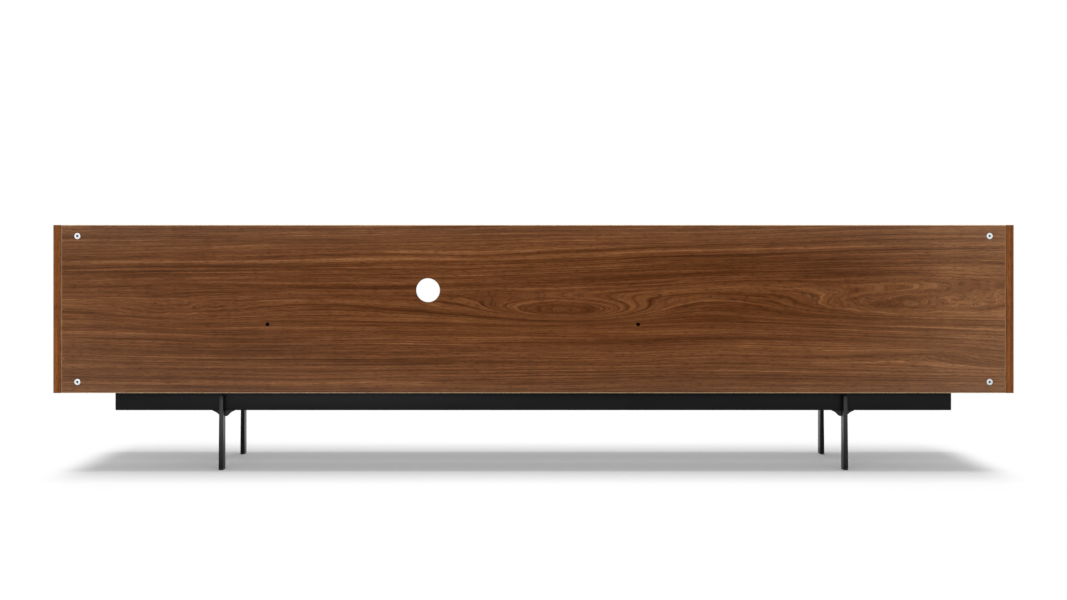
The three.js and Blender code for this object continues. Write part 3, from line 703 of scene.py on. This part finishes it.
def break_edges(thing: Thing, width: float, steps: int, outer: bool = True) -> None:
    """Rounds a piece's sharp edges.

    Args:
        thing: the piece.
        width: how much is taken off each face.
        steps: how many faces the rounding has.
        outer: whether only the edges of its bounding box are rounded.
    """
    low, high = limits(thing)

    def at_limits(edge: bmesh.types.BMEdge) -> bool:
        """Tells whether an edge lies on an edge of the bounding box.

        Args:
            edge: the edge.

        Returns:
            True if it does.
        """
        ends = [vert.co for vert in edge.verts]
        shared = 0
        for axis in range(3):
            for limit in (low[axis], high[axis]):
                shared += all(abs(end[axis] - limit) < TOUCH for end in ends)
        return shared >= 2

    def is_sharp(edge: bmesh.types.BMEdge) -> bool:
        """Tells whether an edge is a corner that is wanted."""
        is_corner = len(edge.link_faces) == 2 and edge.calc_face_angle() >= SHARP
        return is_corner and (at_limits(edge) or not outer)

    with editing(thing):
        select_parts("EDGE", is_sharp)
        bpy.ops.mesh.bevel(offset=width, segments=steps, affect="EDGES", clamp_overlap=True)


def smooth(thing: Thing, degrees: float) -> None:
    """Shades a piece smooth across corners flatter than an angle."""
    only(thing)
    bpy.ops.object.shade_smooth_by_angle(angle=math.radians(degrees))


def applied(thing: Thing) -> Thing:
    """Moves a piece's place and turn into its mesh.

    Args:
        thing: the piece.

    Returns:
        The piece.
    """
    only(thing)
    bpy.ops.object.transform_apply(location=True, rotation=True, scale=True)
    return thing


def with_modifier(thing: Thing, kind: str, **settings: object) -> None:
    """Adds a modifier and applies it.

    Args:
        thing: the piece.
        kind: the modifier's type.
        settings: the modifier's own properties.
    """
    only(thing)
    modifier = thing.modifiers.new(kind.lower(), kind)
    for name, value in settings.items():
        setattr(modifier, name, value)
    bpy.ops.object.modifier_apply(modifier=modifier.name)


def cut_by(thing: Thing, tool: Thing) -> None:
    """Takes a tool's shape out of a piece, and removes the tool."""
    with_modifier(thing, "BOOLEAN", operation="DIFFERENCE", object=tool, solver="EXACT")
    bpy.data.objects.remove(tool)


def paint(thing: Thing, finishes: list[Finish], choice: Callable[[Face], int]) -> None:
    """Gives a piece its finishes.

    Args:
        thing: the piece.
        finishes: its finishes.
        choice: says which finish a face gets, as its place in the list.
    """
    for finish in finishes:
        thing.data.materials.append(material_of(finish))
    for face in thing.data.polygons:
        face.material_index = choice(face)


def fix(thing: Thing, body: str, slot: str, *nodes: str) -> None:
    """Fixes a finished piece to a body of the model.

    Args:
        thing: the piece.
        body: the body that it moves with.
        slot: a material slot's name, which is not used.
        nodes: the CAD nodes that it stands for.
    """
    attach(thing, body)
    if nodes:
        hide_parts(*nodes)
    log.info("%s: %d faces on %s", thing.name, len(thing.data.polygons), body)


def dress(node: str, finish: Finish) -> None:
    """Gives a CAD node that is shown as it is its finish.

    Args:
        node: the node's name.
        finish: the finish.
    """
    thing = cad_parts[node]
    thing.data.materials.clear()
    thing.data.materials.append(material_of(finish))
    log.info("%s: %s", node, finish.name)


# -------- case


@dataclass
class VeneeredBoard:
    """A chipboard panel with walnut veneer on its faces and bands on its edges."""

    node: str
    body: str
    through: Axis
    veneer: Finish
    bands: dict[Axis, Finish]
    arris: Finish | None = None
    core: Finish = CORE
    grip: Finish | None = None
    rounding: float = 0.5 * MM
    arris_lean: float = 0.8

    def build(self) -> None:
        """Makes the board from its CAD node."""
        thing = copied_node(self.node)
        low, high = limits(thing)
        break_edges(thing, self.rounding, 2)
        order = [self.veneer, *self.bands.values(), self.core, self.grip or self.core]
        places = {axis: index + 1 for index, axis in enumerate(self.bands)}
        grip = len(order) - 1
        core = grip - 1
        if self.arris:
            order.append(self.arris)

        def choice(face: Face) -> int:
            """Picks veneer, a band, the core, the slanted grip or the pale arris by how a face lies.

            Args:
                face: the face.

            Returns:
                The finish's place in the order.
            """
            normal, middle = face.normal, face.center
            axis = max(Axis, key=lambda each: abs(normal[each.value]))
            index = axis.value
            at_rim = min(abs(middle[index] - low[index]), abs(middle[index] - high[index])) < RIM
            if abs(normal[index]) < FLAT:
                if self.arris and at_rim and abs(normal[index]) < self.arris_lean:
                    return len(order) - 1
                if not at_rim:
                    return grip
            if axis is self.through:
                return 0
            return places.get(axis, core) if at_rim else core

        paint(thing, order, choice)
        smooth(thing, BOARD_TURN)
        fix(thing, self.body, "walnut_veneer", self.node)


class Case:
    """The fixed boards: two sides, top, bottom, two dividers, a shelf and the back panel."""

    def build(self) -> None:
        """Makes the boards."""
        upright = edging("walnut band, upright", Z, X, 5.0)
        deep = edging("walnut band, front to back", Y, X, 6.0)
        long = edging("walnut band, along the case", X, Z, 7.0)
        # A pale veneer on the back panel's rounded vertical edges; its lightness is partly painted light,
        # making up for the little light their leaning faces get.
        arris = WalnutVeneer("walnut veneer, sanded arris", Z, X, 8.0, wander=0.002, tones=(
            (0.0, "#c39d77"), (0.5, "#dcbb95"), (1.0, "#efd6b4"),
        ))
        side, post, flat = {Y: upright, Z: deep}, {Y: upright}, {Y: long}
        for node, name, through, seed, bands, figures in (
            ("side_panel_left", "left side", X, 11.0, side, ()),
            ("side_panel_right", "right side", X, 13.0, side, ()),
            ("top_panel", "top", Z, 17.0, flat, TOP_FIGURES),
            ("bottom_panel", "bottom", Z, 19.0, flat, ()),
            ("divider_left", "left divider", X, 23.0, post, ()),
            ("divider_right", "right divider", X, 29.0, post, ()),
            ("niche_shelf", "shelf", Z, 31.0, flat, ()),
        ):
            grain = Z if through is X else X
            veneer = WalnutVeneer(f"walnut veneer, {name}", grain, Y, seed, figures=figures)
            VeneeredBoard(node, "case", through, veneer, bands).build()
        back_bands = {X: arris, Z: long}
        # The back panel's drilling walls get painted shade, and its vertical edges the pale arris, partly
        # painted light.
        VeneeredBoard("back_panel", "case", Y, BACK_VENEER, back_bands, arris, DRILLING_SHADE).build()


# -------- fixings


@dataclass(frozen=True)
class DriverCross:
    """The cross that a driver turns, narrower at its bottom. Within its shade's reach, and past its
    shade's depth, it is painted dark: painted shade in the recess."""

    reach: float = 3.4 * MM
    width: float = 1.0 * MM
    depth: float = 1.1 * MM
    taper: float = 0.6
    shade_reach: float = 1.53 * MM
    shade_depth: float = 0.33 * MM

    def cut(self, thing: Thing, centre: Vector, axis: Axis) -> None:
        """Cuts the cross in a piece.

        Args:
            thing: the piece.
            centre: the middle of the face that is cut.
            axis: the way that the face looks.
        """
        arms = []
        for sides in ((self.reach, self.width), (self.width, self.reach)):
            scale, ratio = [*sides], [self.taper, self.taper]
            scale.insert(axis.value, 2 * self.depth)
            ratio.insert(axis.value, 1.0)
            only(None)
            bpy.ops.mesh.primitive_cube_add(size=1, location=centre, scale=scale)
            arm = applied(bpy.context.active_object)
            with editing(arm):
                select_parts("FACE", lambda face: face.normal[axis.value] < -FLAT)
                bpy.ops.transform.resize(value=ratio)
            arms.append(arm)
        with_modifier(arms[0], "BOOLEAN", operation="UNION", object=arms[1], solver="EXACT")
        bpy.data.objects.remove(arms[1])
        cut_by(thing, arms[0])

    def shades(self, face: Face, centre: Vector, axis: Axis) -> bool:
        """Tells whether a face of the piece lies in the part of the cross that gets painted shade.

        Args:
            face: the face.
            centre: the middle of the face that was cut.
            axis: the way that it looks.

        Returns:
            True for the walls and the floor of the cross, and for the piece's back.
        """
        away = face.center - centre
        depth = -away[axis.value]
        away[axis.value] = 0.0
        return depth > self.shade_depth and away.length < self.shade_reach


@dataclass
class CamLock:
    """A die-cast cam: a barrel with a raised rim, a cross for the driver and an arrow that shows which way
    its mouth faces: to the left, a side of -1, or to the right, a side of 1."""

    node: str
    side: float
    shoulder: float = 0.3 * MM
    rim: float = 1.0 * MM
    dish: float = 0.3 * MM
    dish_wall: float = 0.15 * MM
    arrow_offset: float = 5.0 * MM
    arrow_radius: float = 1.1 * MM
    arrow_depth: float = 0.6 * MM
    cross: DriverCross = DriverCross(6.6 * MM, 2.7 * MM, 2.7 * MM, 0.72, 3.96 * MM, 0.45 * MM)
    corners: int = 48

    def arrow(self, centre: Vector) -> Thing:
        """Makes the tool that cuts the arrow in the cam's rim.

        Args:
            centre: the middle of the cam's dish.

        Returns:
            The tool.
        """
        only(None)
        bpy.ops.mesh.primitive_cylinder_add(
            vertices=3, radius=self.arrow_radius, depth=self.arrow_depth, rotation=(math.pi / 2, 0, 0),
            location=centre + Vector((self.side * self.arrow_offset, 0, 0)),
        )
        tool = bpy.context.active_object
        turn = -self.side * math.pi / 2
        bpy.ops.transform.rotate(value=turn, orient_axis="Y", center_override=tool.location)
        return applied(tool)

    def build(self) -> None:
        """Makes the cam in the place of its CAD node."""
        low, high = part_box(self.node)
        middle = (low + high) / 2
        face = Vector((middle.x, high.y, middle.z))
        radius = (high.x - low.x) / 2
        depth = high.y - low.y
        only(None)
        bpy.ops.mesh.primitive_cylinder_add(
            vertices=self.corners, radius=radius, depth=depth, rotation=(math.pi / 2, 0, 0), location=middle,
        )
        cam = applied(bpy.context.active_object)
        cam.name = f"{self.node}_cast"
        with editing(cam):
            select_parts("FACE", lambda each: each.normal.y > FLAT)
            bpy.ops.mesh.bevel(offset=self.shoulder, segments=3, affect="EDGES")
            select_parts("FACE", lambda each: each.normal.y > FLAT and each.calc_area() > radius ** 2)
            bpy.ops.mesh.inset(thickness=self.rim)
            bpy.ops.mesh.inset(thickness=self.dish_wall, depth=-self.dish)
        self.cross.cut(cam, face, Y)
        cut_by(cam, self.arrow(face - Vector((0, self.dish, 0))))
        # The cross recess gets the dark drive colour as painted shade.
        paint(cam, [ZINC, DRIVE_SHADE], lambda each: int(self.cross.shades(each, face, Y)))
        smooth(cam, FITTING_TURN)
        fix(cam, "case", "zinc_die_cast", self.node)


@dataclass(frozen=True)
class PanScrew:
    """The head of a cross-recessed screw. One is modelled, and those that show are its copies."""

    radius: float = 3.0 * MM
    height: float = 1.8 * MM
    shoulder: float = 0.63 * MM
    cross: DriverCross = DriverCross()
    corners: int = 32

    def model(self) -> Thing:
        """Models the head with its crown at the origin, facing up.

        Returns:
            The head.
        """
        only(None)
        bpy.ops.mesh.primitive_cylinder_add(
            vertices=self.corners, radius=self.radius, depth=self.height, location=(0, 0, -self.height / 2),
        )
        head = applied(bpy.context.active_object)
        with editing(head):
            select_parts("FACE", lambda face: face.normal.z > FLAT)
            bpy.ops.mesh.bevel(offset=self.shoulder, segments=4, affect="EDGES")
        self.cross.cut(head, Vector(), Z)
        # The cross recess gets the black-oxide colour as painted shade.
        paint(head, [ZINC_PLATE, BLACK_OXIDE_AND_DRIVE_SHADE], lambda face: int(
            self.cross.shades(face, Vector(), Z) and face.normal.z > -FLAT
        ))
        smooth(head, FITTING_TURN)
        return head


def place_screw(head: Thing, name: str, spot: Vector, way: Vector, body: str) -> None:
    """Copies a screw's head to where it shows.

    Args:
        head: the modelled head.
        name: the copy's name.
        spot: the middle of the crown.
        way: the way that the crown faces.
        body: the body that it moves with.
    """
    screw = bpy.data.objects.new(name, head.data.copy())
    bpy.context.scene.collection.objects.link(screw)
    screw.rotation_mode = "QUATERNION"
    screw.rotation_quaternion = way.to_track_quat("Z", "Y")
    screw.location = spot
    fix(applied(screw), body, "zinc_plated_steel")


@dataclass
class HardwareScrews:
    """The screws of the catches, their strikes and the drawer's runners."""

    pan: PanScrew = PanScrew()
    flush: PanScrew = PanScrew(
        1.6 * MM, 0.8 * MM, 0.28 * MM, DriverCross(2.2 * MM, 0.7 * MM, 0.6 * MM, 0.6, 0.99 * MM, 0.18 * MM),
    )
    ear_offset: float = 10.5 * MM
    ear_thickness: float = 3.0 * MM
    proud: float = 0.2 * MM
    sunk: float = 0.1 * MM
    runner_web: float = 1.4 * MM
    runner_spots: tuple[float, ...] = (0.12, 0.45, 0.85)

    def build(self) -> None:
        """Models one head for each size and copies it to its places."""
        pan_head, flush_head = self.pan.model(), self.flush.model()
        for front, body, way, row in (
            ("flap", "flap", Vector((1, 0, 0)), Vector((0, 0, 1))),
            ("door", "side_door", Vector((0, 0, -1)), Vector((1, 0, 0))),
        ):
            low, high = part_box(f"{front}_catch")
            seat = (low + high) / 2 - way * abs(way.dot(high - low)) / 2
            crown = seat + way * (self.ear_thickness + self.pan.height + self.proud)
            for index, side in enumerate((-1, 1), 1):
                spot = crown + row * side * self.ear_offset
                place_screw(pan_head, f"{front}_catch_screw_{index}", spot, way, "case")
            low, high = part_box(f"{front}_strike")
            spot = Vector(((low.x + high.x) / 2, high.y - self.sunk, (low.z + high.z) / 2))
            place_screw(flush_head, f"{front}_strike_screw", spot, Vector((0, 1, 0)), body)
        for side, hand in ((-1, "left"), (1, "right")):
            low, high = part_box(f"runner_drawer_{hand}")
            web = low.x if side > 0 else high.x
            for index, share in enumerate(self.runner_spots, 1):
                spot = Vector((
                    web + side * (self.runner_web + self.pan.height), low.y + share * (high.y - low.y),
                    (low.z + high.z) / 2,
                ))
                place_screw(pan_head, f"runner_screw_{hand}_{index}", spot, Vector((side, 0, 0)), "drawer")
        for head in (pan_head, flush_head):
            bpy.data.objects.remove(head)


class BackFixings:
    """The four cams, their bolts, and the two screws through the back panel into the dividers."""

    def build(self) -> None:
        """Makes and dresses the fixings."""
        for hand, side in (("left", -1.0), ("right", 1.0)):
            for level in ("lower", "upper"):
                CamLock(f"back_cam_{level}_{hand}", side).build()
                dress(f"cam_bolt_{level}_{hand}", BRIGHT_STEEL)
            dress(f"divider_screw_{hand}", BLACKENED)


# -------- fronts


FRONT_SEED = 47.0
"""The seed of all the fronts, whose veneer runs on from one to the next."""
FRONT_ROUNDING = 0.4 * MM


@dataclass
class Fronts:
    """The drop-down flap and the side-hung door, with their pivots and catches."""

    pole_proud: float = 0.6 * MM
    catch_rounding: float = 0.25 * MM

    def build(self) -> None:
        """Makes and dresses the fronts."""
        upright = edging("walnut band, front ends", Z, X, 41.0)
        long = edging("walnut band, front edges", X, Y, 43.0)
        bands = {X: upright, Z: long}
        flap = WalnutVeneer("walnut veneer, flap", seed=FRONT_SEED, figures=FLAP_FIGURES)
        door = WalnutVeneer("walnut veneer, door", seed=FRONT_SEED, figures=DOOR_FIGURES)
        for board in (
            VeneeredBoard("flap_door", "flap", Y, flap, bands, grip=long, rounding=FRONT_ROUNDING),
            VeneeredBoard("door", "side_door", Y, door, bands, grip=upright, rounding=FRONT_ROUNDING),
        ):
            board.build()
        for hand in ("left", "right"):
            dress(f"flap_spindle_{hand}", BRIGHT_STEEL)
            dress(f"flap_damper_{hand}", BLACK_OXIDE_AND_DRIVE_SHADE)
        for level in ("lower", "upper"):
            dress(f"door_pin_{level}", BRIGHT_STEEL)
            dress(f"door_bush_{level}", GREY_PLASTIC)
        for front in ("flap", "door"):
            dress(f"{front}_strike", BRIGHT_STEEL)
            self.catch(f"{front}_catch")

    def catch(self, node: str) -> None:
        """Makes a magnetic catch with bare steel poles.

        Args:
            node: the CAD node.
        """
        thing = copied_node(node)
        poles_end = thing.bound_box[0][1] + self.pole_proud
        break_edges(thing, self.catch_rounding, 2, False)
        paint(thing, [GREY_PLASTIC, BRIGHT_STEEL], lambda face: int(face.center.y < poles_end))
        smooth(thing, FITTING_TURN)
        fix(thing, "case", "grey_plastic", node)


# -------- drawer


@dataclass
class PlyBoard:
    """A plywood board of the drawer, with the axis of its thickness and the way its face grain runs."""

    node: str
    through: Axis
    grain: Axis
    rounding: float = 0.6 * MM
    edge_lean: float = 0.9

    def build(self) -> None:
        """Makes the board from its CAD node."""
        thing = copied_node(self.node)
        break_edges(thing, self.rounding, 2)
        lie = f"{self.grain.name} through {self.through.name}"
        face = BirchPlywood(f"birch plywood face, {lie}", self.grain, self.through)
        edge = BirchPlywood(f"birch plywood edge, {lie}", self.grain, self.through, True)
        way = self.through.value
        paint(thing, [face, edge], lambda each: int(abs(each.normal[way]) < self.edge_lean))
        smooth(thing, BOARD_TURN)
        fix(thing, "drawer", "birch_plywood", self.node)


class Drawer:
    """The drawer under the niche, with its runners."""

    def build(self) -> None:
        """Makes and dresses the drawer."""
        veneer = WalnutVeneer("walnut veneer, drawer front", seed=FRONT_SEED)
        bands = {
            X: edging("walnut band, drawer ends", Z, X, 53.0),
            Z: edging("walnut band, drawer edges", X, Y, 59.0),
        }
        VeneeredBoard("drawer_front", "drawer", Y, veneer, bands, rounding=FRONT_ROUNDING).build()
        for node, through, grain in (
            ("drawer_side_left", X, Y), ("drawer_side_right", X, Y),
            ("drawer_back", Y, X), ("drawer_bottom", Z, X),
        ):
            PlyBoard(node, through, grain).build()
        for hand in ("left", "right"):
            for member in ("case", "middle", "drawer"):
                dress(f"runner_{member}_{hand}", ZINC_PLATE)


# -------- steel base


@dataclass
class BasePart:
    """A part of the base, with its edges rounded: all that are sharp, or only its outer ones."""

    node: str
    rounding: float
    steps: int
    outer: bool = False
    finish: Finish = LEG_COAT
    slot: str = "black_powder_coat"

    def build(self) -> None:
        """Makes the part from its CAD node."""
        thing = copied_node(self.node)
        break_edges(thing, self.rounding, self.steps, self.outer)
        paint(thing, [self.finish], lambda _: 0)
        smooth(thing, STEEL_TURN)
        fix(thing, "case", self.slot, self.node)


@dataclass
class SteelBase:
    """The welded base: two rails, two cross members, four flat-bar legs with brackets, and their feet."""

    tube_rounding: float = 2.0 * MM
    leg_rounding: float = 0.5 * MM
    pad_rounding: float = 0.8 * MM

    def build(self) -> None:
        """Makes and dresses the base."""
        for end in ("front", "rear"):
            BasePart(f"rail_{end}", self.tube_rounding, 4, True, BLACK_COAT).build()
            for hand in ("left", "right"):
                spot = f"{end}_{hand}"
                BasePart(f"leg_{spot}", self.leg_rounding, 2).build()
                BasePart(
                    f"foot_pad_{spot}", self.pad_rounding, 3, finish=BLACK_PLASTIC, slot="black_plastic",
                ).build()
                dress(f"base_screw_{spot}", BLACK_OXIDE_AND_DRIVE_SHADE)
        for hand in ("left", "right"):
            BasePart(f"cross_member_{hand}", self.tube_rounding, 4, True, BLACK_COAT).build()


# -------- studio


@dataclass
class Softbox:
    """A rectangular lamp. Places and sizes are in metres, and its power is in watts."""

    name: str
    place: tuple[float, float, float]
    target: tuple[float, float, float]
    width: float
    height: float
    power: float

    def build(self) -> None:
        """Makes the lamp."""
        data = bpy.data.lights.new(self.name, "AREA")
        data.shape = "RECTANGLE"
        data.size, data.size_y, data.energy = self.width, self.height, self.power
        lamp = bpy.data.objects.new(self.name, data)
        bpy.context.scene.collection.objects.link(lamp)
        lamp.location = self.place
        lamp.rotation_euler = (Vector(self.target) - Vector(self.place)).to_track_quat("-Z", "Y").to_euler()


@dataclass
class Studio:
    """The white studio: the sweep, the lamps, the surroundings and the camera behind the cabinet. The
    camera's slide and rise are shares of the picture's width."""

    floor_size: float = 30.0
    camera_distance: float = 4.0
    camera_height: float = 0.4629
    camera_side: float = 0.0306
    lens: float = 61.57
    slide: float = 0.01377
    rise: float = -0.04686
    ambient: float = 0.42

    def floor(self) -> None:
        """Lays the floor."""
        only(None)
        bpy.ops.mesh.primitive_plane_add(size=self.floor_size)
        floor = bpy.context.active_object
        floor.name = "floor"
        floor.data.materials.append(material_of(StudioFloor("white paper sweep")))

    def surroundings(self) -> None:
        """Makes the world: white to the eye and in reflections, and a soft light on the rest."""
        world = bpy.data.worlds.new("studio")
        world.use_nodes = True
        tree = world.node_tree
        tree.nodes.clear()
        rays = add(tree, "LightPath").node.outputs
        seen = rays["Is Camera Ray"]
        for kind in ("Is Transmission Ray", "Is Glossy Ray"):
            seen = add(tree, "Math", {0: seen, 1: rays[kind]}, operation="MAXIMUM")
        white = add(tree, "Background", {"Color": "#ffffff", "Strength": 1.0})
        soft = add(tree, "Background", {"Color": "#ffffff", "Strength": self.ambient})
        mixed = add(tree, "MixShader", {0: seen, 1: soft, 2: white})
        add(tree, "OutputWorld", {"Surface": mixed})
        bpy.context.scene.world = world

    def lamps(self) -> None:
        """Hangs the lamps."""
        for lamp in (
            Softbox("overhead", (0.0, 0.0, 3.2), (0.0, 0.0, 0.0), 3.4, 1.6, 72.0),
            Softbox("behind", (0.0, 4.6, 2.2), (0.0, 0.0, 0.3), 4.5, 2.2, 72.0),
            Softbox("before", (0.0, -4.6, 2.2), (0.0, 0.0, 0.3), 4.5, 2.2, 80.0),
            Softbox("low left", (0.9, 2.6, 0.17), (0.9, 0.0, 0.17), 1.2, 0.28, 6.5),
            Softbox("low right", (-2.1, 3.6, 0.4), (-0.6, 0.15, 0.35), 1.0, 0.8, 5.0),
        ):
            lamp.build()

    def camera(self) -> None:
        """Sets the camera behind the cabinet, level, with the view shifted down to the floor."""
        data = bpy.data.cameras.new("camera")
        data.lens = self.lens
        data.shift_x = self.slide
        data.shift_y = self.rise
        data.clip_end = 100.0
        camera = bpy.data.objects.new("camera", data)
        bpy.context.scene.collection.objects.link(camera)
        camera.location = (self.camera_side, self.camera_distance, self.camera_height)
        camera.rotation_euler = (math.pi / 2, 0.0, math.pi)
        bpy.context.scene.camera = camera

    def build(self) -> None:
        """Sets up the studio."""
        self.floor()
        self.surroundings()
        self.lamps()
        self.camera()
        bpy.context.scene.view_settings.view_transform = "Standard"


def main() -> None:
    """Builds the studio and the cabinet's sub-assemblies in order."""
    logging.basicConfig(level=logging.INFO, format="%(name)s: %(message)s")
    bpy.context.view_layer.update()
    for part in (Studio(), Case(), BackFixings(), Fronts(), Drawer(), HardwareScrews(), SteelBase()):
        log.info("building %s", type(part).__name__)
        part.build()


if __name__ == "__main__":
    main()
